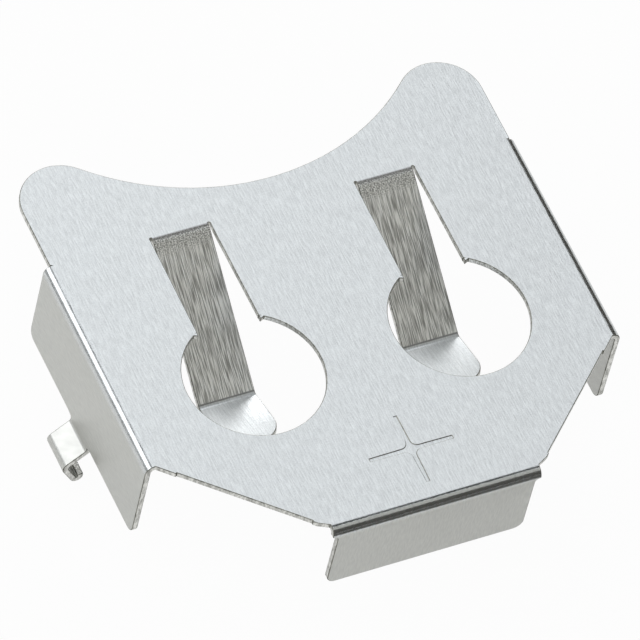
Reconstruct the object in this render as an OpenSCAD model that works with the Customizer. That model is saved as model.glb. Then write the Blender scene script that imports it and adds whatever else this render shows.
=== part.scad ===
// Surface-mount holder for a coin cell of 24.5 mm by 5 mm: one piece of spring
// sheet, blanked, folded down on three sides and plated. All sizes in mm.
// Z is up from the board, the cell slides in from +Y, the stop wall is at -Y.

/* [Body] */
// Outer width over the two side walls
body_w = 25.6; // [24.8:0.1:32]
// Height of the top face over the board
body_h = 8.4; // [8:0.05:10]
// Sheet thickness
sheet_t = 0.3; // [0.2:0.01:0.35]
// Inside radius of the wall folds
fold_r = 0.2; // [0.1:0.05:0.5]
// Clear depth from the stop wall's outer face to the mouth's deepest point
mouth_y = 20.3; // [19.8:0.05:26]

/* [Mouth and horns] */
// Radius of the concave mouth
mouth_r = 13.1; // [12.4:0.1:18]
// Radius of the two horns beside the mouth
horn_r = 2.2; // [1.6:0.05:2.8]
// Step of each horn in from the side wall's outer face
horn_inset = 0.3; // [0.1:0.02:0.6]

/* [Walls] */
// Start of the side walls, from the stop wall's outer face
side_y = 6.25; // [5.6:0.05:7.2]
// Length of the side walls
side_l = 12.5; // [11.5:0.05:14]
// Height of the side walls under the top face
side_h = 5.6; // [5:0.05:5.9]
// Width of the stop wall
stop_w = 10.35; // [8:0.05:11.4]
// Height of the stop wall under the top face
stop_h = 4.55; // [3:0.05:5.6]
// Widening of the stop wall at its fold, on each side
stop_flare = 0.42; // [0.2:0.02:0.6]
// Radius of the walls' free corners
corner_r = 0.5; // [0.2:0.05:1]
// Depth of the sheared step along the two open corners
shear_step = 0.06; // [0.04:0.01:0.15]
// Reach of the top beyond each end of the stop wall's fold
ear = 0.6; // [0.3:0.05:1]

/* [Keyholes] */
// Distance of each keyhole from the middle plane
hole_x = 5.55; // [5:0.05:6]
// Distance of the round end from the stop wall's outer face
hole_y = 9.7; // [9:0.05:10.4]
// Radius of the round end
hole_r = 3.56; // [3:0.02:3.8]
// Width of the slot at the finger's root
slot_w = 3.24; // [3.14:0.02:3.5]
// Width that the slot gains on its way to the round end
slot_gain = 0.1; // [0:0.02:0.4]
// Distance of the slot's root from the stop wall's outer face
slot_y = 18.65; // [17.8:0.05:18.9]
// Length of the small tooth left where slot and round end meet
tooth_l = 0.22; // [0.1:0.02:0.3]

/* [Spring fingers] */
// Width of a finger
finger_w = 3.04; // [2.4:0.02:3.06]
// Depth of the finger's heel under the top face
finger_drop = 4.5; // [3.6:0.05:4.8]
// Slope of the finger
finger_slope = 32; // [26:1:38]
// Upward slope of the finger's tip
tip_slope = 18; // [8:1:24]
// Length of the tip from the heel
tip_l = 3.4; // [3:0.1:4]
// Radius of the tip's corners
tip_r = 1.3; // [0.4:0.05:1.4]
// Inside radius of the finger's two bends
finger_r = 0.25; // [0.1:0.05:0.4]

/* [Solder leads] */
// Width of a solder lead
lead_w = 2; // [1.4:0.1:2.8]
// Start of the lead, from the back end of its side wall
lead_y = 5.35; // [3.4:0.05:6]
// Reach of the lead outside the side wall
lead_out = 1.08; // [0.9:0.02:1.6]
// Slope of the lead's shoulder below the horizontal
lead_slope = 40; // [32:1:48]
// Inward lean of the lead's shank
lead_lean = 30; // [20:1:36]
// Inside radius of the curled foot
foot_r = 0.04; // [0.02:0.01:0.1]
// Length of the upturned toe
toe_l = 0.15; // [0.1:0.05:0.45]

/* [Hidden] */
$fn = 96;

hw = body_w / 2;
fold_o = fold_r + sheet_t;              // outside radius of a wall fold
flat_x = hw - fold_o;                   // where the flat top ends at the sides
horn_x = hw - horn_inset;
mouth_c = mouth_y + mouth_r;            // centre of the mouth's arc
horn_cx = horn_x - horn_r;
horn_cy = mouth_c - sqrt(pow(mouth_r + horn_r, 2) - pow(horn_cx, 2));
body_d = horn_cy + horn_r;              // overall depth
side_end = side_y + side_l;
stop_fold = stop_w / 2 + stop_flare;
touch = mouth_r / (mouth_r + horn_r);   // mouth and horn arcs meet tangent here

// open corner between the side fold and the stop fold
ear_x = stop_fold + ear;
ear_y = fold_o + ear / 2;
open_dx = flat_x - ear_x;
open_dy = side_y - ear_y;
open_l = norm([open_dx, open_dy]);
open_a = atan2(open_dy, open_dx);
step_in = 1.05;                         // plain length beside the side fold
step_out = 0.2;                         // plain length beside the ear

// finger: heel and root lie where the bends' tangents meet
finger_o = finger_r + sheet_t;
finger_run = finger_drop / sin(finger_slope);
heel_t = finger_r * tan((finger_slope + tip_slope) / 2);
finger_l = finger_run - finger_o * tan(finger_slope / 2) - heel_t;
tip_y = slot_y - finger_o * tan(finger_slope / 2) - finger_run * cos(finger_slope)
      - tip_l * cos(tip_slope);
relief_r = 0.08;

// lead: shoulder, shank and curled foot, all measured on the outside face
root_r = 0.23;
knee_r = 0.2;
knee_o = knee_r + sheet_t;
foot_o = foot_r + sheet_t;
root_turn = 90 - lead_slope;
knee_turn = root_turn + lead_lean;
toe_back = 8;                           // the toe leans back towards the shank
foot_turn = 180 - lead_lean + toe_back;
shoulder_l = (lead_out - root_r * (1 - cos(root_turn)) - knee_o * (1 - cos(root_turn)))
           / sin(root_turn);
neck_l = 0.23;                          // upright part under the side wall
neck_fillet = 0.21;
above = root_r * sin(root_turn) + shoulder_l * cos(root_turn)
      + knee_o * (sin(root_turn) + sin(lead_lean));
shank_l = (body_h - side_h - neck_l - above - foot_o * (1 - sin(lead_lean)))
        / cos(lead_lean);

// ring sector from angle 0 to a, a below 180
module sector(r1, r2, a) {
  far = 2 * r2;
  intersection() {
    difference() { circle(r = r2); circle(r = r1); }
    if (a <= 90) polygon([[0, 0], [far, 0], [far, far * tan(a / 2)], [far * cos(a), far * sin(a)]]);
    else polygon([[0, 0], [far, 0], [far, far], [-far, far], [far * cos(a), far * sin(a)]]);
  }
}

// sheet of thickness sheet_t laid over y = 0..sheet_t, one [length, turn, inside radius]
// after the other; a positive turn bends towards +Y, a negative one towards -Y
module folded(steps, i = 0) {
  if (i < len(steps)) {
    l = steps[i][0];
    a = steps[i][1];
    r = steps[i][2];
    square([l, sheet_t]);
    if (a > 0) {
      translate([l, sheet_t + r]) {
        rotate(-90) sector(r, r + sheet_t, a);
        rotate(a) translate([0, -sheet_t - r]) folded(steps, i + 1);
      }
    }
    if (a < 0) {
      translate([l, -r]) {
        rotate(90 + a) sector(r, r + sheet_t, -a);
        rotate(a) translate([0, r]) folded(steps, i + 1);
      }
    }
  }
}

// flat top, without the keyholes
module top_outline() {
  difference() {
    union() {
      translate([-flat_x, side_y]) square([2 * flat_x, side_l + 1]);  // on under the horns
      translate([-horn_x, side_end]) square([2 * horn_x, horn_cy - side_end]);
      polygon([[-stop_fold, fold_o], [stop_fold, fold_o], [ear_x, ear_y],
               [flat_x, side_y], [flat_x, side_y + 1], [-flat_x, side_y + 1],
               [-flat_x, side_y], [-ear_x, ear_y]]);
      translate([-horn_cx, horn_cy]) circle(r = horn_r);
      translate([horn_cx, horn_cy]) circle(r = horn_r);
      polygon([[-horn_cx, horn_cy - 1], [horn_cx, horn_cy - 1], [horn_cx, horn_cy],
               [horn_cx * touch, mouth_c - (mouth_c - horn_cy) * touch],
               [-horn_cx * touch, mouth_c - (mouth_c - horn_cy) * touch],
               [-horn_cx, horn_cy]]);
    }
    translate([0, mouth_c]) circle(r = mouth_r);
    sheared_step();
    mirror([1, 0]) sheared_step();
  }
}

// the open corner's edge steps in between its two plain ends
module sheared_step() {
  translate([ear_x, ear_y]) rotate(open_a)
    translate([step_out, -1]) square([open_l - step_in - step_out, 1 + shear_step]);
}

// keyhole: round end, slot widening towards it, two relief corners at the root, and a
// tooth on each side where the two cuts meet
module keyhole() {
  half = (slot_w + slot_gain) / 2;
  difference() {
    union() {
      translate([hole_x, hole_y]) circle(r = hole_r);
      polygon([[hole_x - slot_w / 2, slot_y], [hole_x + slot_w / 2, slot_y],
               [hole_x + half, hole_y], [hole_x - half, hole_y]]);
    }
    for (s = [-1, 1]) translate([hole_x, hole_y]) mirror([s < 0 ? 1 : 0, 0]) tooth(half);
  }
  for (s = [-1, 1])
    translate([hole_x + s * (slot_w / 2 - relief_r + 0.02), slot_y]) circle(r = relief_r);
}

// sheet left standing at the meeting of slot and round end, at x = half
module tooth(half) {
  meet = sqrt(pow(hole_r, 2) - pow(half, 2));
  out = half + tooth_l;
  polygon([[half - slot_gain * meet / (slot_y - hole_y) / 2, meet], [half, meet - tooth_l],
           [out, sqrt(pow(hole_r, 2) - pow(out, 2))], [out, meet]]);
}

module top() {
  translate([0, 0, -sheet_t]) linear_extrude(sheet_t) difference() {
    top_outline();
    keyhole();
    mirror([1, 0]) keyhole();
  }
}

// what a rounded corner at the origin leaves out of a square one
module corner_waste(r) {
  difference() {
    translate([-1, -1]) square([r + 1, r + 1]);
    translate([r, r]) circle(r = r);
  }
}

// concave quarter round against the two axes
module web_fillet(r) {
  difference() {
    square(r);
    translate([r, r]) circle(r = r);
  }
}

// one side wall at +X with its fold and its solder lead
module side() {
  web = 0.6;                            // length shared with the top, and with the neck
  difference() {
    translate([0, side_end, 0]) rotate([90, 0, 0]) linear_extrude(side_l)
      translate([flat_x - web, -sheet_t]) folded([[web, -90, fold_r], [side_h - fold_o, 0, 0]]);
    translate([hw + 1, 0, 0]) rotate([0, -90, 0]) linear_extrude(2) {
      translate([-side_h, side_y]) corner_waste(corner_r);
      translate([-side_h, side_end]) mirror([0, 1]) corner_waste(corner_r);
    }
  }
  translate([hw, side_y + lead_y, -side_h]) rotate([0, -90, 0]) linear_extrude(sheet_t) {
    translate([0, -neck_fillet]) square([web, lead_w + 2 * neck_fillet]);
    rotate(180) web_fillet(neck_fillet);
    translate([0, lead_w]) mirror([1, 0]) web_fillet(neck_fillet);
  }
  lead();
}

// down out of the side wall, out over the shoulder, in along the shank, up at the toe
module lead() {
  web = 0.6;                            // length shared with the side wall
  translate([hw, side_y + lead_y, web - side_h]) rotate([0, 90, 90]) linear_extrude(lead_w)
    folded([[web + neck_l, -root_turn, root_r], [shoulder_l, knee_turn, knee_r],
            [shank_l, foot_turn, foot_r], [toe_l, 0, 0]]);
}

// stop wall at -Y, wider at its fold than below it
module stop() {
  translate([-stop_fold, 0, 0]) rotate([90, 0, 90]) linear_extrude(2 * stop_fold)
    translate([fold_o, -fold_o]) rotate(90) sector(fold_r, fold_o, 90);
  translate([0, sheet_t, 0]) rotate([90, 0, 0]) linear_extrude(sheet_t) {
    difference() {
      translate([-stop_w / 2, -stop_h]) square([stop_w, stop_h - fold_o]);
      translate([-stop_w / 2, -stop_h]) corner_waste(corner_r);
      translate([stop_w / 2, -stop_h]) mirror([1, 0]) corner_waste(corner_r);
    }
    translate([stop_w / 2, -fold_o]) mirror([0, 1]) web_fillet(stop_flare);
    translate([-stop_w / 2, -fold_o]) rotate(180) web_fillet(stop_flare);
  }
}

// spring finger of the +X keyhole: down from the slot's root to its heel, then up to the tip
module finger() {
  web = 0.4;                            // length shared with the top
  left = hole_x - finger_w / 2;
  difference() {
    translate([left, slot_y + web, -sheet_t]) mirror([0, 1, 0]) rotate([90, 0, 90])
      linear_extrude(finger_w)
        folded([[web, -finger_slope, finger_r], [finger_l, finger_slope + tip_slope, finger_r],
                [tip_l - heel_t, 0, 0]]);
    translate([left, tip_y, -body_h]) linear_extrude(body_h) corner_waste(tip_r);
    translate([left + finger_w, tip_y, -body_h]) linear_extrude(body_h)
      mirror([1, 0]) corner_waste(tip_r);
  }
}

module retainer() {
  color("silver") translate([0, -body_d / 2, body_h]) {
    top();
    stop();
    side();
    finger();
    mirror([1, 0, 0]) {
      side();
      finger();
    }
  }
}

retainer();
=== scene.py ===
# %% [markdown]
# # Coin cell holder
#
# This notebook folds the same sheet again as a fine mesh, with the worn edges that
# stamping and plating leave, and then gives it its metal, a floor, a few soft lights
# and a camera.

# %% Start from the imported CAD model
import math

import bmesh
import bpy
from mathutils import Matrix, Vector


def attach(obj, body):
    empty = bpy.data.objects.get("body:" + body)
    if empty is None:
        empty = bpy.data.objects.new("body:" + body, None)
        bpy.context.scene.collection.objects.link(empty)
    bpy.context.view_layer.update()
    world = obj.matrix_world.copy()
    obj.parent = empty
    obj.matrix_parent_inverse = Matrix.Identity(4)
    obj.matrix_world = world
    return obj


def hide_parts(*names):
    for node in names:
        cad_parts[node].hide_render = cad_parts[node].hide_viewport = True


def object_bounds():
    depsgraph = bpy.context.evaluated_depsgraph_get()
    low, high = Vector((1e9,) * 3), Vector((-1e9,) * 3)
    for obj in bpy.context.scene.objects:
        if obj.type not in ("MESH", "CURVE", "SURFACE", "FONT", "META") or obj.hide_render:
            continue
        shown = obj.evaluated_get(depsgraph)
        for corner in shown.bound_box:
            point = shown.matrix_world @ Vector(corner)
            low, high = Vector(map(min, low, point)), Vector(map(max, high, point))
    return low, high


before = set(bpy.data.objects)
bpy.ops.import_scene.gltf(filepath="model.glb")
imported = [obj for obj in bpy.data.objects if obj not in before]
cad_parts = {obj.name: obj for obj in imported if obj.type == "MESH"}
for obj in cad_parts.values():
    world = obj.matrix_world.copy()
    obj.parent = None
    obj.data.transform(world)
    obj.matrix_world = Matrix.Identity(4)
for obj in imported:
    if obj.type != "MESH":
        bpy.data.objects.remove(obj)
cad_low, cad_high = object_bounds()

MM = 0.001
TOP = cad_high.z
print("CAD box in mm:", [round(v / MM, 2) for v in (*cad_low, *cad_high)])

# %% [markdown]
# ## Camera
#
# The holder is seen from high up, over its left front corner, through a very long
# lens, and the camera is rolled a little. It is placed on a sphere round a point in
# the part, looks at that point, and is then turned about its own line of sight.

# %% Camera
AIM = Vector((0.0007, 0.0020, 0.0042))
DISTANCE = 0.4679
LENS, SENSOR = 534.8, 36          # millimetres
AZIMUTH, ELEVATION, ROLL = (math.radians(a) for a in (-36.23, 53.54, 14.75))

back = Vector((math.sin(AZIMUTH) * math.cos(ELEVATION),
               -math.cos(AZIMUTH) * math.cos(ELEVATION),
               math.sin(ELEVATION)))
bpy.ops.object.camera_add(location=AIM + back * DISTANCE)
camera = bpy.context.object
camera.name = "studio_camera"
camera.rotation_mode = "QUATERNION"
camera.rotation_quaternion = (
    (-back).to_track_quat("-Z", "Y") @ Matrix.Rotation(ROLL, 3, "Z").to_quaternion())
camera.data.sensor_width = SENSOR
camera.data.lens = LENS
bpy.context.scene.camera = camera
print("camera at", [round(v, 4) for v in camera.location])

# %% [markdown]
# ## The sheet's sizes
#
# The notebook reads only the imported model, so the sizes that the sheet shares with it
# are written once more here and in the cells below, in millimetres. Distances along
# the depth are measured from the outer face of the stop wall.

# %% Sizes of the sheet
SHEET = 0.3                       # thickness
HALF_W = 12.8                     # outer face of the side walls
FOLD_R = 0.5                      # outside radius of the wall folds
FLAT_X = HALF_W - FOLD_R          # where the flat top ends at the sides
CORNER_R = 0.5                    # free corners of the walls
FRONT = cad_low.y / MM            # the stop wall's outer face in the model


def place(x, y, z):
    """A point from millimetres: x from the middle, y from the stop wall, z from the top."""
    return Vector((x * MM, (y + FRONT) * MM, TOP + z * MM))


print("stop wall's outer face at y =", round(FRONT, 2), "mm, top at z =", round(TOP / MM, 2), "mm")

# %% [markdown]
# ## Selecting by place
#
# Every step below is an edit that could be made by hand. In code, the edges that it
# works on are picked by where they are. Everything else is deselected first,
# because an operator acts on all that is selected.

# %% Helpers that select
def edit(piece):
    """Opens one object, and only that one, in edit mode."""
    if bpy.context.object and bpy.context.object.mode != "OBJECT":
        bpy.ops.object.mode_set(mode="OBJECT")
    bpy.ops.object.select_all(action="DESELECT")
    piece.select_set(True)
    bpy.context.view_layer.objects.active = piece
    bpy.ops.object.mode_set(mode="EDIT")


SLACK = 0.004 * MM                # how far outside its box a corner may lie
MERGE = 0.0005 * MM               # corners closer than this are one


def pick(piece, low, high, kind="EDGE", test=lambda part: True):
    """Selects the vertices, edges or faces that lie in a box, and counts them."""
    def inside(v):
        return all(a - SLACK <= c <= b + SLACK for a, c, b in zip(low, v.co, high))

    bpy.ops.mesh.select_mode(type=kind)
    bpy.ops.mesh.select_all(action="DESELECT")
    mesh = bmesh.from_edit_mesh(piece.data)
    parts = {"VERT": mesh.verts, "EDGE": mesh.edges, "FACE": mesh.faces}[kind]
    count = 0
    for part in parts:
        corners = [part] if kind == "VERT" else part.verts
        if all(inside(v) for v in corners) and test(part):
            part.select_set(True)
            count += 1
    bmesh.update_edit_mesh(piece.data)
    return count


# %% [markdown]
# ## The flat top
#
# The top is a flat face with a round mouth, two horns and two keyholes. Its outline
# is already exact in the CAD model, so the face is taken from a copy of that node:
# the loose triangles are merged, all that isn't the top skin is deleted, and the
# triangles are dissolved into plain faces.

# %% Take the top skin from a copy of the CAD node
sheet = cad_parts["retainer"].copy()
sheet.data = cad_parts["retainer"].data.copy()
sheet.name = "holder_sheet"
sheet.parent = None
for key in list(sheet.keys()):
    del sheet[key]
bpy.context.scene.collection.objects.link(sheet)
edit(sheet)
bpy.ops.mesh.select_all(action="SELECT")
bpy.ops.mesh.remove_doubles(threshold=MERGE)
bpy.ops.mesh.select_mode(type="FACE")
pick(sheet, (-1, -1, TOP), (1, 1, TOP), "FACE")
bpy.ops.mesh.select_all(action="INVERT")
bpy.ops.mesh.delete(type="FACE")
bpy.ops.mesh.select_all(action="SELECT")
bpy.ops.mesh.dissolve_limited(angle_limit=math.radians(0.5))
print("top skin:", len(bmesh.from_edit_mesh(sheet.data).faces), "faces")

# %% [markdown]
# The solder lead hangs from a short stretch of each wall. The top is cut across at
# the ends of that stretch, so that the fold and the wall below it get edges there.

# %% Cut lines for the leads
SIDE_Y, SIDE_L, SIDE_H = 6.25, 12.5, 5.6    # a side wall's start, length and height
LEAD_Y, LEAD_W = 5.35, 2.0                  # from the wall's start, and the lead's width
NECK_L, NECK_FILLET = 0.23, 0.21            # the lead's upright neck and its side rounds

neck_start = SIDE_Y + LEAD_Y - NECK_FILLET
neck_end = SIDE_Y + LEAD_Y + LEAD_W + NECK_FILLET
for y in (neck_start, neck_end):
    bpy.ops.mesh.select_all(action="SELECT")
    bpy.ops.mesh.bisect(plane_co=place(0, y, 0), plane_no=(0, 1, 0))
print("each lead's neck runs from", round(neck_start, 2), "to", round(neck_end, 2), "mm")

# %% [markdown]
# ## Folding
#
# A press brake bends sheet about a line, and Blender's spin does the same to a row
# of edges: it sweeps them about an axis and leaves the last row selected, ready for
# the next straight. A small class remembers where that row is and which way the
# sheet is heading, so that each wall, finger and lead is a list of straights and bends.

# %% The strip that is being folded
class Strip:
    """The selected row of edges, its place, its heading and the outward side of the skin."""

    def __init__(self, at, heading, outside):
        self.at, self.heading, self.outside = at, Vector(heading), Vector(outside)

    def straight(self, length):
        """Runs on for a length."""
        step = self.heading * length * MM
        bpy.ops.mesh.extrude_edges_move(TRANSFORM_OT_translate={"value": step})
        self.at = self.at + step

    def close_in(self, by):
        """Moves the row's two ends towards its middle."""
        mesh = bmesh.from_edit_mesh(bpy.context.object.data)
        along = self.heading.cross(self.outside)
        row = sorted((v for v in mesh.verts if v.select), key=lambda v: v.co.dot(along))
        row[0].co += along * by * MM
        row[-1].co -= along * by * MM
        bmesh.update_edit_mesh(bpy.context.object.data)

    def bend(self, degrees, radius, steps=10):
        """Turns away from the outside for a positive angle, by the skin's own radius."""
        side = -1 if degrees > 0 else 1
        centre = self.at + self.outside * side * radius * MM
        axis = self.heading.cross(-self.outside)
        turn = Matrix.Rotation(math.radians(degrees), 3, axis)
        bpy.ops.mesh.spin(steps=steps, angle=-math.radians(degrees), center=centre, axis=axis)
        self.at = centre + turn @ (self.at - centre)
        self.heading, self.outside = turn @ self.heading, turn @ self.outside

    def fillet(self, radius, steps=5):
        """Narrows along a concave quarter round at both sides."""
        for i in range(steps):
            a, b = (math.radians(90 * k / steps) for k in (i, i + 1))
            self.straight(radius * (math.cos(a) - math.cos(b)))
            self.close_in(radius * (math.sin(b) - math.sin(a)))


# %% [markdown]
# ## Solder leads
#
# A narrow strip runs on out of each side wall's lower edge: down, outwards over a
# shoulder, back in along the shank, and up at the toe, so that the curl between shank
# and toe is the foot that is soldered to the board. It is written as a function,
# because it starts from a wall that isn't folded yet.

# %% Solder leads
LEAD_OUT, LEAD_SLOPE, LEAD_LEAN = 1.08, 40, 30    # reach in mm, shoulder and shank in degrees
ROOT_R, KNEE_R, FOOT_R = 0.23, 0.2, 0.04          # inside radii of the three bends
TOE_L, TOE_BACK = 0.15, 8                         # the toe leans back towards the shank


def solder_lead(side, lower_edge):
    """Folds the lead that hangs from a side wall's lower edge."""
    x = side * HALF_W
    pick(sheet, place(x, neck_start, -SIDE_H), place(x, neck_end, -SIDE_H))
    lead = Strip(lower_edge, (0, 0, -1), (side, 0, 0))
    lead.fillet(NECK_FILLET)
    lead.straight(NECK_L - NECK_FILLET)
    out = 90 - LEAD_SLOPE
    knee = KNEE_R + SHEET
    foot = FOOT_R + SHEET
    lead.bend(-out, ROOT_R)
    reach = LEAD_OUT - (ROOT_R + knee) * (1 - math.cos(math.radians(out)))
    lead.straight(reach / math.sin(math.radians(out)))
    lead.bend(out + LEAD_LEAN, knee)
    board = lead.at.z / MM - foot * (1 - math.sin(math.radians(LEAD_LEAN)))
    lead.straight(board / math.cos(math.radians(LEAD_LEAN)))
    lead.bend(180 - LEAD_LEAN + TOE_BACK, foot, steps=14)
    lead.straight(TOE_L)


print("each lead reaches", LEAD_OUT, "mm out")

# %% [markdown]
# ## Side walls
#
# Each side of the top is folded down into a wall, its lead follows, and then the wall's
# two free corners are rounded. The walls could be modelled apart and joined on, but
# folding them out of the top keeps everything one sheet, as the real part is.

# %% Side walls
def round_off(x, y, z, radius, segments=6):
    """Rounds one free corner in the sheet's own plane."""
    pick(sheet, place(x, y, z), place(x, y, z), "VERT")
    bpy.ops.mesh.bevel(offset=radius * MM, segments=segments, affect="VERTICES")


def side_wall(side):
    """Folds down the wall at +X or -X, with its lead."""
    x = side * FLAT_X
    pick(sheet, place(x, SIDE_Y, -0.01), place(x, SIDE_Y + SIDE_L, 0))
    wall = Strip(place(x, 0, 0), (side, 0, 0), (0, 0, 1))
    wall.bend(90, FOLD_R)
    wall.straight(SIDE_H - FOLD_R)
    solder_lead(side, wall.at)
    for y in (SIDE_Y, SIDE_Y + SIDE_L):
        round_off(side * HALF_W, y, -SIDE_H, CORNER_R)


for side in (1, -1):
    side_wall(side)
print("with side walls:", len(bmesh.from_edit_mesh(sheet.data).faces), "faces")

# %% [markdown]
# ## Stop wall
#
# The short wall opposite the mouth stops the cell. It starts as wide as its fold and
# narrows to the wall's own width along a small round on each side. It is a quarter of a
# millimetre wider here than in the CAD model, with a smaller round.

# %% Stop wall
STOP_W, STOP_H, STOP_FLARE = 10.6, 4.55, 0.295

half = STOP_W / 2 + STOP_FLARE
pick(sheet, place(-half, FOLD_R, -0.01), place(half, FOLD_R, 0))
stop = Strip(place(0, FOLD_R, 0), (0, -1, 0), (0, 0, 1))
stop.bend(90, FOLD_R)
stop.fillet(STOP_FLARE)
stop.straight(STOP_H - FOLD_R - STOP_FLARE)
for x in (-STOP_W / 2, STOP_W / 2):
    round_off(x, 0, -STOP_H, CORNER_R)
print("with stop wall:", len(bmesh.from_edit_mesh(sheet.data).faces), "faces")

# %% [markdown]
# ## Spring fingers
#
# A finger is a tongue left standing in each keyhole. It slopes down under the top to
# its heel, which presses on the cell, and its tip turns up so that the cell slides
# in under it. The tip's corners are well rounded.

# %% Spring fingers
HOLE_X, SLOT_Y = 5.55, 18.65                        # each keyhole's middle and closed end
FINGER_W, FINGER_DROP, FINGER_SLOPE = 3.04, 4.5, 32
FINGER_R = 0.25                                     # inside radius of both bends
TIP_SLOPE, TIP_L, TIP_R = 18, 3.4, 1.3


def finger(x):
    """Bends the tongue whose middle is at x, from the keyhole's narrow end."""
    low, high = x - FINGER_W / 2, x + FINGER_W / 2
    pick(sheet, place(low, SLOT_Y, -0.01), place(high, SLOT_Y, 0))
    tongue = Strip(place(x, SLOT_Y, 0), (0, -1, 0), (0, 0, 1))
    root = FINGER_R + SHEET
    slope, turn = math.radians(FINGER_SLOPE), math.radians(FINGER_SLOPE + TIP_SLOPE)
    heel = FINGER_R * math.tan(turn / 2)
    tongue.bend(FINGER_SLOPE, root, steps=6)
    tongue.straight(FINGER_DROP / math.sin(slope) - root * math.tan(slope / 2) - heel)
    tongue.bend(-(FINGER_SLOPE + TIP_SLOPE), FINGER_R, steps=8)
    tongue.straight(TIP_L - heel)
    end = tongue.at
    pick(sheet, (low * MM, end.y, end.z), (high * MM, end.y, end.z), "VERT")
    bpy.ops.mesh.bevel(offset=TIP_R * MM, segments=10, affect="VERTICES")


for x in (-HOLE_X, HOLE_X):
    finger(x)
print("with fingers:", len(bmesh.from_edit_mesh(sheet.data).faces), "faces")

# %% [markdown]
# ## From skin to sheet
#
# So far there is only the outer skin. A Solidify modifier gives it its thickness
# inwards, evenly through the bends, and puts the cut edges in a second material slot,
# since a cut edge looks different from the rolled and plated face.

# %% Thickness
bpy.ops.mesh.select_all(action="SELECT")
bpy.ops.mesh.remove_doubles(threshold=MERGE)
bpy.ops.mesh.normals_make_consistent(inside=False)
plate = max(bmesh.from_edit_mesh(sheet.data).faces, key=lambda face: face.calc_area())
if plate.normal.z < 0:
    bpy.ops.mesh.flip_normals()
bpy.ops.object.mode_set(mode="OBJECT")

sheet.data.materials.clear()
for name in ("plated_face", "cut_edge", "rounded_rim_painted_shade"):
    sheet.data.materials.append(bpy.data.materials.new(name))
plated, cut, rim_painted_shade = sheet.data.materials
CUT_SLOT, RIM_SLOT = 1, 2

bpy.ops.object.modifier_add(type="SOLIDIFY")
solidify = sheet.modifiers[-1]
solidify.thickness = SHEET * MM
solidify.offset = -1
solidify.use_even_offset = True
solidify.material_offset_rim = CUT_SLOT
bpy.ops.object.modifier_apply(modifier=solidify.name)
print("sheet:", len(sheet.data.polygons), "faces")

# %% [markdown]
# ## Worn edges
#
# Punching rounds a sheet's edges and plating rounds them more. That thin round turns away from the
# light and outlines every cut with a dark line. A Bevel modifier gives it to all corners that are
# sharper than the steps of the folds, in a slot of its own, and that slot's dark colour is painted
# shade along the line.

# %% Rounded edges
RIM_W = 0.035

bpy.ops.object.modifier_add(type="BEVEL")
bevel = sheet.modifiers[-1]
bevel.width = RIM_W * MM
bevel.segments = 2
bevel.limit_method = "ANGLE"
bevel.angle_limit = math.radians(50)
bevel.use_clamp_overlap = False
bevel.material = RIM_SLOT
bpy.ops.object.modifier_apply(modifier=bevel.name)
print("rounded:", len(sheet.data.polygons), "faces")

# %% [markdown]
# ## The stamped plus sign
#
# A plus sign is stamped into the top near the stop wall, because that side of the
# cell faces up. Its arms are narrow and taper a little, and the inner corners are
# rounded, which makes the middle look like a star. A punch of that shape is made
# from a small square by extruding its sides.

# %% Punch
PLUS_AT, PLUS_DEEP = 3.3, 0.04              # its middle's distance from the stop wall, its depth
PLUS_REACH_X, PLUS_REACH_Y = 2.22, 1.98     # from the middle to the ends of the arms
PLUS_W, PLUS_END = 0.2, 0.15                # an arm's width at the middle and at its end
PLUS_ROUND = 0.36                           # the inner corners

bpy.ops.mesh.primitive_plane_add(size=PLUS_W * MM, location=place(0, PLUS_AT, -PLUS_DEEP))
punch = bpy.context.object
punch.name = "plus_punch"
bpy.ops.object.transform_apply(location=True, rotation=False, scale=False)
edit(punch)
middle = place(0, PLUS_AT, -PLUS_DEEP)
for way, reach in (((1, 0, 0), PLUS_REACH_X), ((-1, 0, 0), PLUS_REACH_X),
                   ((0, 1, 0), PLUS_REACH_Y), ((0, -1, 0), PLUS_REACH_Y)):
    way = Vector(way)
    edge_at = middle + way * PLUS_W / 2 * MM
    across = Vector((abs(way.y), abs(way.x), 0)) * PLUS_W / 2 * MM
    pick(punch, edge_at - across, edge_at + across)
    arm = Strip(edge_at, way, (0, 0, 1))
    arm.straight(reach - PLUS_W / 2)
    arm.close_in((PLUS_W - PLUS_END) / 2)
bpy.ops.mesh.select_all(action="SELECT")
bpy.ops.mesh.dissolve_limited(angle_limit=math.radians(1))
inner = PLUS_W * 0.5
pick(punch, middle - Vector((inner, inner, 0)) * MM, middle + Vector((inner, inner, 0)) * MM, "VERT")
bpy.ops.mesh.bevel(offset=PLUS_ROUND * MM, segments=6, affect="VERTICES")
bpy.ops.mesh.select_all(action="SELECT")
bpy.ops.mesh.extrude_region_move(TRANSFORM_OT_translate={"value": (0, 0, MM)})
bpy.ops.mesh.select_all(action="SELECT")
bpy.ops.mesh.normals_make_consistent(inside=False)
bpy.ops.object.mode_set(mode="OBJECT")
print("punch:", len(punch.data.polygons), "faces")

# %% [markdown]
# A Boolean presses the punch into the top. A real punch has slanted sides, so a bevel slants the
# walls of the stamp afterwards and gives them the rim's dark colour, which is painted shade.

# %% Stamp
PLUS_SLANT = 0.035

bpy.ops.object.select_all(action="DESELECT")
sheet.select_set(True)
bpy.context.view_layer.objects.active = sheet
bpy.ops.object.modifier_add(type="BOOLEAN")
stamp = sheet.modifiers[-1]
stamp.object = punch
stamp.operation = "DIFFERENCE"
stamp.solver = "EXACT"
bpy.ops.object.modifier_apply(modifier=stamp.name)
bpy.data.objects.remove(punch)

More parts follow.
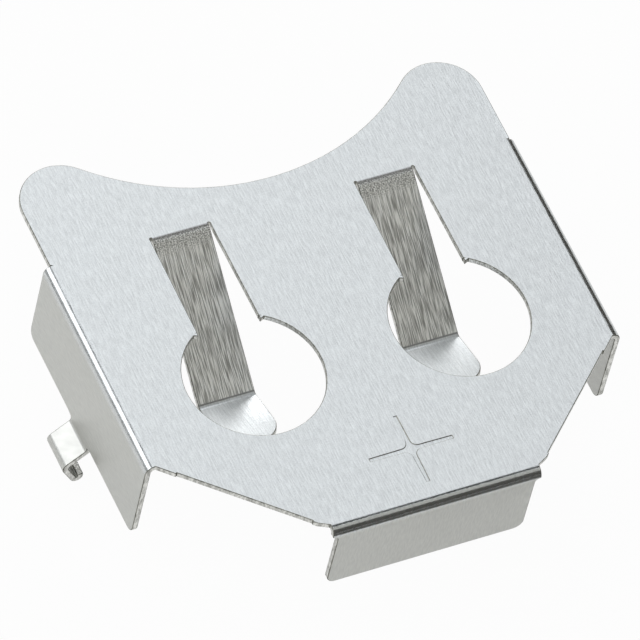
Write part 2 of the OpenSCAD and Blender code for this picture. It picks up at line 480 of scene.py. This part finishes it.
edit(sheet)
around = Vector((PLUS_REACH_X + 0.1, PLUS_REACH_Y + 0.1, 0.005)) * MM
stamped = place(0, PLUS_AT, 0)
pick(sheet, stamped - around, stamped + around, test=lambda edge: edge.calc_face_angle(0) > 1)
bpy.ops.mesh.bevel(offset=PLUS_SLANT * MM, segments=1, affect="EDGES", material=RIM_SLOT)
bpy.ops.object.mode_set(mode="OBJECT")
print("stamped:", len(sheet.data.polygons), "faces")

# %% [markdown]
# ## Smooth shading that keeps the flats flat
#
# Smooth shading averages the directions of the faces that meet at a corner, so a large
# flat face would look dented beside a small bend. A Weighted Normal modifier lets the
# larger face decide. The borders between face, rim and cut edge are marked sharp, or
# the rim's direction would spread along the whole of each long, narrow fold face.

# %% Weighted normals
SHARP = math.radians(50)


def is_border(edge):
    """True between two finishes, and where the surface turns sharply."""
    finishes = {face.material_index for face in edge.link_faces}
    return len(finishes) > 1 or edge.calc_face_angle(0) > SHARP


edit(sheet)
print("sharp edges:", pick(sheet, cad_low, cad_high, test=is_border))
bpy.ops.mesh.mark_sharp()
bpy.ops.object.mode_set(mode="OBJECT")
bpy.ops.object.shade_smooth()
bpy.ops.object.modifier_add(type="WEIGHTED_NORMAL")
weighted = sheet.modifiers[-1]
weighted.mode = "FACE_AREA"
weighted.weight = 50
weighted.keep_sharp = True
bpy.ops.object.modifier_apply(modifier=weighted.name)
print("finished sheet:", len(sheet.data.polygons), "faces")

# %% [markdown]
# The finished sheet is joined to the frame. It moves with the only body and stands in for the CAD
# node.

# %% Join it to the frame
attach(sheet, "root")
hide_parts("retainer")
print("pieces on the frame:", sheet.name)

# %% [markdown]
# ## Materials from nodes
#
# A node tree is easier to read as a list of short lines, so one helper adds a node,
# sets its inputs and links what feeds it.

# %% Node helper
def add(tree, kind, settings=None, **inputs):
    """Adds a node. An input, by name or as _number, is a value or another node's output."""
    made = tree.nodes.new(kind)
    for name, value in (settings or {}).items():
        setattr(made, name, value)
    for name, value in inputs.items():
        key = int(name[1:]) if name[1:].isdigit() else name.replace("_", " ")
        socket = made.inputs[key]
        if isinstance(value, bpy.types.NodeSocket):
            tree.links.new(value, socket)
        else:
            socket.default_value = value
    return made


def blank(material):
    """An empty node tree with a Principled shader joined to the output."""
    material.use_nodes = True
    tree = material.node_tree
    tree.nodes.clear()
    shader = add(tree, "ShaderNodeBsdfPrincipled")
    add(tree, "ShaderNodeOutputMaterial", Surface=shader.outputs["BSDF"])
    return tree, shader


# %% [markdown]
# ## Which way the grain runs
#
# The strip was rolled before it was folded, so its fine grain follows the sheet: along
# the depth on the top and the side walls, down the stop wall, and along each finger.
# Unfolding gives two coordinates. Across the grain it is the distance from the middle,
# plus the way down on the side walls. Along the grain it is the depth plus the height.

# %% Grain coordinates
def math_node(tree, operation, a, b=0.0):
    return add(tree, "ShaderNodeMath", {"operation": operation}, _0=a, _1=b).outputs[0]


def times(tree, a, b):
    return math_node(tree, "MULTIPLY", a, b)


def plus(tree, a, b):
    return math_node(tree, "ADD", a, b)


def minus(tree, a, b):
    return math_node(tree, "SUBTRACT", a, b)


def ramp(tree, value, start, end, low=0.0, high=1.0):
    """Maps start..end to low..high and stays there beyond both."""
    return add(tree, "ShaderNodeMapRange", Value=value, _1=start, _2=end, _3=low, _4=high).outputs[0]


def measures(tree):
    """Distance from the middle, from the stop wall and down from the top, in metres."""
    where = add(tree, "ShaderNodeTexCoord").outputs["Object"]
    xyz = add(tree, "ShaderNodeSeparateXYZ", Vector=where)
    depth = minus(tree, xyz.outputs["Y"], FRONT * MM)
    down = minus(tree, TOP, xyz.outputs["Z"])
    return xyz.outputs["X"], depth, down


def unfolded(tree, fine, long):
    """The flat sheet's own coordinates, with so many grains to a millimetre each way."""
    x, depth, down = measures(tree)
    beside = math_node(tree, "GREATER_THAN", math_node(tree, "ABSOLUTE", x), FLAT_X * MM)
    across = plus(tree, x, times(tree, down, beside))
    along = minus(tree, depth, down)
    return add(tree, "ShaderNodeCombineXYZ", X=times(tree, across, fine / MM),
               Y=times(tree, along, long / MM)).outputs[0]


NOISE_SPREAD = 0.2                # how far a plain noise strays from its middle value


def grain(tree, fine, long, detail=2.0, rough=0.5, contrast=1.0):
    """Noise of that grain, stretched from its usual spread to 0..1."""
    made = add(tree, "ShaderNodeTexNoise", Vector=unfolded(tree, fine, long), Scale=1.0,
               Detail=detail, Roughness=rough).outputs["Fac"]
    spread = NOISE_SPREAD / contrast
    return ramp(tree, made, 0.5 - spread, 0.5 + spread)


# %% [markdown]
# ## Where the sheet was worked
#
# The brake burnishes the outside of each fold. The walls below get a fainter grain and a darker
# tone, and that darker tone is painted shade. The fingers' slopes are scored along their length, but
# their tips stay bright. Masks find these places by the sheet's own measures, each 0 away from its
# place and 1 on it.

# %% Masks
HEEL_Y = SLOT_Y - FINGER_DROP / math.tan(math.radians(FINGER_SLOPE))


def worked(tree):
    """Masks of the folds, the walls, the fingers' slopes and the fingers, and the depth."""
    x, depth, down = measures(tree)
    from_middle = math_node(tree, "ABSOLUTE", x)
    beside = ramp(tree, from_middle, FLAT_X * MM, (FLAT_X + 0.1) * MM)
    before = ramp(tree, depth, (FOLD_R - 0.1) * MM, FOLD_R * MM, 1.0, 0.0)
    outer = math_node(tree, "MAXIMUM", beside, before)
    wall = times(tree, outer, ramp(tree, down, 0.8 * FOLD_R * MM, 1.3 * FOLD_R * MM))
    fold = minus(tree, outer, wall)
    from_finger = math_node(tree, "ABSOLUTE", minus(tree, from_middle, HOLE_X * MM))
    finger = math_node(tree, "LESS_THAN", from_finger, (FINGER_W / 2 + 0.02) * MM)
    behind_heel = ramp(tree, depth, (HEEL_Y - 0.02) * MM, (HEEL_Y + 0.03) * MM)
    before_root = ramp(tree, depth, SLOT_Y * MM, (SLOT_Y + 0.03) * MM, 1.0, 0.0)
    slope = times(tree, finger, times(tree, behind_heel, before_root))
    return fold, wall, slope, finger, depth


def near(tree, depth, at, inner, outer):
    """1 within the inner distance of a cross line, fading to 0 at the outer one."""
    away = math_node(tree, "ABSOLUTE", minus(tree, depth, at * MM))
    return ramp(tree, away, inner * MM, outer * MM, 1.0, 0.0)


print("heels at", round(HEEL_Y, 2), "mm from the stop wall")

# %% [markdown]
# Three short helpers mix two values, mix two colours, and turn a value into a shade
# between a dark and a light one.

# %% Mixing helpers
def mix_values(tree, fac, first, second):
    return add(tree, "ShaderNodeMix", {"data_type": "FLOAT"},
               _0=fac, _2=first, _3=second).outputs[0]


def blend(tree, fac, first, second):
    return add(tree, "ShaderNodeMix", {"data_type": "RGBA"},
               _0=fac, _6=first, _7=second).outputs[2]


def shades(tree, value, dark, light):
    """Colours a 0..1 value from a dark to a light shade."""
    made = add(tree, "ShaderNodeValToRGB", Fac=value)
    made.color_ramp.elements[0].color = (*dark, 1)
    made.color_ramp.elements[1].color = (*light, 1)
    return made.outputs["Color"]


# %% [markdown]
# ## Grain of the plated face
#
# Bright plate over rolled strip is nearly a mirror, but the grain scatters it across
# its own direction. The top is grazed: fine streaks, a fine speckle and a few short
# scratches. The fingers' slopes are scored deeper and longer, and speckled near the
# root, where the bend crushed the grain.

# %% Grain of the plated face
tree, shader = blank(plated)
fold, wall, slope, finger, depth = worked(tree)

speckle = grain(tree, 13.0, 13.0, detail=0.0)
fine = grain(tree, 13.0, 2.0, detail=1.0)
scratch = grain(tree, 15.0, 1.2, detail=0.0, contrast=2.5)
rest_of_top = plus(tree, times(tree, speckle, 0.3), times(tree, scratch, 0.25))
grazed = plus(tree, times(tree, fine, 0.45), rest_of_top)

groove = grain(tree, 17.0, 0.8, detail=1.0)
deep_groove = grain(tree, 19.0, 0.5, detail=0.0, contrast=2.5)
scored = plus(tree, times(tree, groove, 0.6), times(tree, deep_groove, 0.4))
at_root = times(tree, near(tree, depth, SLOT_Y, 0.4, 1.0), 0.8)
scored = mix_values(tree, at_root, scored, speckle)

streak = mix_values(tree, slope, grazed, scored)
print("grain:", len(tree.nodes), "nodes")

# %% [markdown]
# ## Tones of the plated face
#
# The grain also changes the tone: a little on the top, hardly on the walls, and strongly on the
# scored slopes. The walls' tone is also darker than the top's, as painted shade. Along the root and
# heel of each finger the colour is painted dark, as painted shade in those bends.

# %% Tones of the plated face
# Painted shade: a dark colour along each finger's root and heel bends.
CREASE_SHADE = (0.10, 0.095, 0.09, 1)

on_top = shades(tree, streak, (0.63, 0.645, 0.655), (0.87, 0.89, 0.90))
# Painted shade: the walls' tones are darker than the top's, though the walls are the same plated
# sheet.
on_wall_painted_shade = shades(tree, fine, (0.63, 0.63, 0.61), (0.71, 0.71, 0.685))
on_slope = shades(tree, ramp(tree, streak, 0.2, 0.8), (0.36, 0.355, 0.34), (1.0, 0.995, 0.97))
colour = blend(tree, slope, blend(tree, wall, on_top, on_wall_painted_shade), on_slope)

root_shade_line = times(tree, finger, near(tree, depth, SLOT_Y - 0.03, 0.04, 0.12))
heel_shade_line = times(tree, finger, near(tree, depth, HEEL_Y - 0.02, 0.01, 0.06))
crease_shade = times(tree, math_node(tree, "MAXIMUM", root_shade_line, heel_shade_line), 0.75)
colour = blend(tree, crease_shade, colour, CREASE_SHADE)
tree.links.new(colour, shader.inputs["Base Color"])
print("grain and tones:", len(tree.nodes), "nodes")

# %% [markdown]
# ## Gloss and relief of the plated face
#
# Clouds of slightly uneven plating change the gloss, and the burnished folds are
# glossier. The same streaks that change the tone drive a shallow bump, deeper on the
# slopes and shallower on the walls.

# %% Gloss and relief of the plated face
clouds = grain(tree, 0.35, 0.3)
uneven = ramp(tree, clouds, 0.0, 1.0, 0.30, 0.36)
rough = minus(tree, uneven, times(tree, fold, 0.15))
relief = minus(tree, 0.4, times(tree, wall, 0.3))
relief = plus(tree, times(tree, slope, 0.45), relief)
bump = add(tree, "ShaderNodeBump", Height=streak, Strength=relief, Distance=0.01 * MM)
tree.links.new(rough, shader.inputs["Roughness"])
tree.links.new(bump.outputs["Normal"], shader.inputs["Normal"])
shader.inputs["Metallic"].default_value = 1.0
print("plated face:", len(tree.nodes), "nodes")

# %% [markdown]
# ## Cut edges
#
# A punch shears the upper part of the thickness smooth and tears the rest, and the
# plating only partly covers that. The cut edges are rougher than the faces and
# mottled, with a grain that runs through the thickness.

# %% Cut edges
GRAINS_PER_MM = Vector((7, 7, 2.5))


def torn_metal(material, dark, light, roughest, smoothest):
    """Mottled metal with a grain that runs through the sheet's thickness."""
    tree, shader = blank(material)
    where = add(tree, "ShaderNodeTexCoord").outputs["Object"]
    scaled = add(tree, "ShaderNodeMapping", Vector=where, Scale=GRAINS_PER_MM / MM)
    noise = add(tree, "ShaderNodeTexNoise", Vector=scaled.outputs[0], Scale=1.0,
                Detail=3.0, Roughness=0.6)
    mottle = ramp(tree, noise.outputs["Fac"], 0.35, 0.65)
    bump = add(tree, "ShaderNodeBump", Height=mottle, Strength=0.5, Distance=0.02 * MM)
    tree.links.new(shades(tree, mottle, dark, light), shader.inputs["Base Color"])
    tree.links.new(ramp(tree, mottle, 0.0, 1.0, roughest, smoothest), shader.inputs["Roughness"])
    tree.links.new(bump.outputs["Normal"], shader.inputs["Normal"])
    shader.inputs["Metallic"].default_value = 1.0


torn_metal(cut, (0.50, 0.495, 0.47), (0.98, 0.97, 0.94), 0.4, 0.22)
# The rim's dark colour is painted shade along every rounded edge.
torn_metal(rim_painted_shade, (0.12, 0.12, 0.10), (0.36, 0.355, 0.32), 0.5, 0.35)
print("finishes:", [material.name for material in sheet.data.materials])

# %% [markdown]
# ## Floor
#
# The floor is plain white card. Nearly all of its white is a glow that only the camera
# and reflections see, so it looks white without flooding the metal. The rest is lit,
# and so only a trace of the holder's shadow stays on it.

# %% Floor
SEEN_GLOW, MIRRORED_GLOW = 0.96, 0.35


def glow_share(tree, seen, mirrored):
    """How much of a surface glows: one share for the camera, another for reflections."""
    path = add(tree, "ShaderNodeLightPath")
    direct = math_node(tree, "MAXIMUM", path.outputs["Is Camera Ray"],
                       path.outputs["Is Transmission Ray"])
    glossy = times(tree, path.outputs["Is Glossy Ray"], mirrored)
    return math_node(tree, "MAXIMUM", times(tree, direct, seen), glossy)


bpy.ops.mesh.primitive_plane_add(size=8)
floor = bpy.context.object
floor.name = "studio_floor"
card_white = bpy.data.materials.new("white_card")
card_white.use_nodes = True
tree = card_white.node_tree
tree.nodes.clear()
lit = add(tree, "ShaderNodeBsdfDiffuse", Color=(0.72, 0.72, 0.695, 1))
glow = add(tree, "ShaderNodeEmission", Color=(1, 1, 1, 1), Strength=1.0)
share = glow_share(tree, SEEN_GLOW, MIRRORED_GLOW)
mixed = add(tree, "ShaderNodeMixShader", _0=share, _1=lit.outputs[0], _2=glow.outputs[0])
add(tree, "ShaderNodeOutputMaterial", Surface=mixed.outputs[0])
floor.data.materials.append(card_white)
print("floor:", round(floor.dimensions.x, 1), "m wide")

# %% [markdown]
# ## A white room
#
# Shiny metal is lit by what it mirrors. A white room surrounds the holder on all
# sides, a touch cooler than the floor.

# %% Room
world = bpy.data.worlds.new("studio_room")
bpy.context.scene.world = world
world.use_nodes = True
room = world.node_tree.nodes["Background"]
room.inputs["Color"].default_value = (0.955, 0.985, 1.0, 1)
room.inputs["Strength"].default_value = 1.0
print("room:", world.name)

# %% [markdown]
# ## Where a fold looks
#
# In a white room a fold of shiny sheet would look as plain as the flat beside it. A
# mirror that turns by some degrees looks twice as far round, so the place of a card
# that should show in a fold follows from the sheet's turn there.

# %% Where a fold looks
def in_fold(axis, turn):
    """The direction that the camera sees mirrored in the top once it has turned about an axis."""
    mirrored = Vector((-back.x, -back.y, back.z))
    return Matrix.Rotation(math.radians(2 * turn), 3, axis) @ mirrored


def face_holder(axis, turn, distance):
    """A place in that direction, and a turn whose X side follows the fold's sweep."""
    toward = in_fold(axis, turn)
    sweep = (in_fold(axis, turn + 0.5) - in_fold(axis, turn - 0.5)).normalized()
    frame_of = Matrix((sweep, toward.cross(sweep), toward)).transposed()
    return toward * distance, frame_of.to_euler()


print("the flat top mirrors", [round(v, 2) for v in in_fold("X", 0)])

# %% [markdown]
# ## Grey cards
#
# Grey cards that the camera doesn't see give the folds and fingers something darker to
# mirror. Most of them hang round the holder, and two lie on the floor, because the
# lower part of a fold looks down.

# %% Kinds of card
def grey_paint(name, grey):
    """A matt grey, which mirrors nothing itself."""
    paint = bpy.data.materials.new(name)
    paint.use_nodes = True
    shader = paint.node_tree.nodes["Principled BSDF"]
    shader.inputs["Base Color"].default_value = (*grey, 1)
    shader.inputs["Roughness"].default_value = 1.0
    return paint


def hide_card(card, name, grey):
    """Paints a card and keeps it out of the camera's sight, though not out of mirrors."""
    card.name = name
    card.data.materials.append(grey_paint(name, grey))
    card.visible_camera = False
    card.visible_shadow = False


CARD_FAR = 0.5                    # metres from the holder


def fold_card(name, axis, start, end, length, grey):
    """A card that shows in a fold between two turns of the sheet, in degrees."""
    at, turn = face_holder(axis, (start + end) / 2, CARD_FAR)
    bpy.ops.mesh.primitive_plane_add(size=1, location=at, rotation=turn)
    width = 2 * CARD_FAR * math.tan(math.radians(abs(end - start)))
    bpy.context.object.scale = (width, length, 1)
    hide_card(bpy.context.object, name, grey)


OVER_FLOOR = 0.5 * MM


def floor_card(name, toward, start, end, length, grey):
    """A card that lies on the floor, from start to end in a level direction."""
    bearing = math.atan2(toward[1], toward[0])
    middle = Vector((math.cos(bearing), math.sin(bearing), 0)) * (start + end) / 2
    middle.z = OVER_FLOOR
    bpy.ops.mesh.primitive_plane_add(size=1, location=middle, rotation=(0, 0, bearing))
    bpy.context.object.scale = (end - start, length, 1)
    hide_card(bpy.context.object, name, grey)


# %% [markdown]
# The turns say where in its fold each card shows: the stop wall and the fingers fold
# about X, the side walls about Y. The fingers' slopes look at the lightest card, and
# each fold gets a dark line next to its bright one.

# %% Cards in their places
BLACK = (0.04, 0.04, 0.04)
NEAR_BLACK = (0.05, 0.05, 0.05)
DARK = (0.10, 0.095, 0.085)
DIM = (0.25, 0.25, 0.25)
LIGHT_GREY = (0.68, 0.67, 0.64)

fold_card("card_over_front", "X", 10, 20, 0.3, NEAR_BLACK)
fold_card("card_before_fingers", "X", 22, 37, 0.5, LIGHT_GREY)
fold_card("card_before_stop", "X", 37, 61, 0.5, DARK)
fold_card("card_beside_right", "Y", 8, 33, 0.35, DARK)
fold_card("card_over_left", "Y", -23, -26.5, 0.3, BLACK)
fold_card("card_beside_left", "Y", -52, -56.5, 0.3, DIM)
floor_card("floor_card_front", (0.35, -0.94), 0.022, 0.2, 0.2, DARK)
floor_card("floor_card_left", (-0.87, 0.48), 0.045, 0.1, 0.15, DIM)

# %% [markdown]
# ## Soft lamps
#
# Two large soft lamps are a little like windows in the room. The left one brightens
# the left fold and the lead's shoulder. The one behind the mouth stands low, where the
# upturned fingertips mirror it.

# %% Lamps
LAMP_FAR = 0.6                    # metres from the holder


def soft_lamp(name, at, turn, size, brightness):
    """An area lamp whose face is so many times as bright as the white room."""
    bpy.ops.object.light_add(type="AREA", location=at, rotation=turn)
    lamp = bpy.context.object
    lamp.name = name
    lamp.data.shape = "RECTANGLE"
    lamp.data.size, lamp.data.size_y = size
    lamp.data.energy = brightness * math.pi * size[0] * size[1]


at, turn = face_holder("Y", -40, LAMP_FAR)
soft_lamp("lamp_left", at, turn, (0.3, 0.35), 0.85)
at = Vector((0.35, 0.86, 0.30)).normalized() * LAMP_FAR
turn = at.to_track_quat("Z", "Y").to_euler()
soft_lamp("lamp_behind_mouth", at, turn, (0.4, 0.3), 3.0)

# %% [markdown]
# ## Finish
#
# The colours are shown as they are.

# %% Finish
bpy.context.scene.view_settings.view_transform = "Standard"
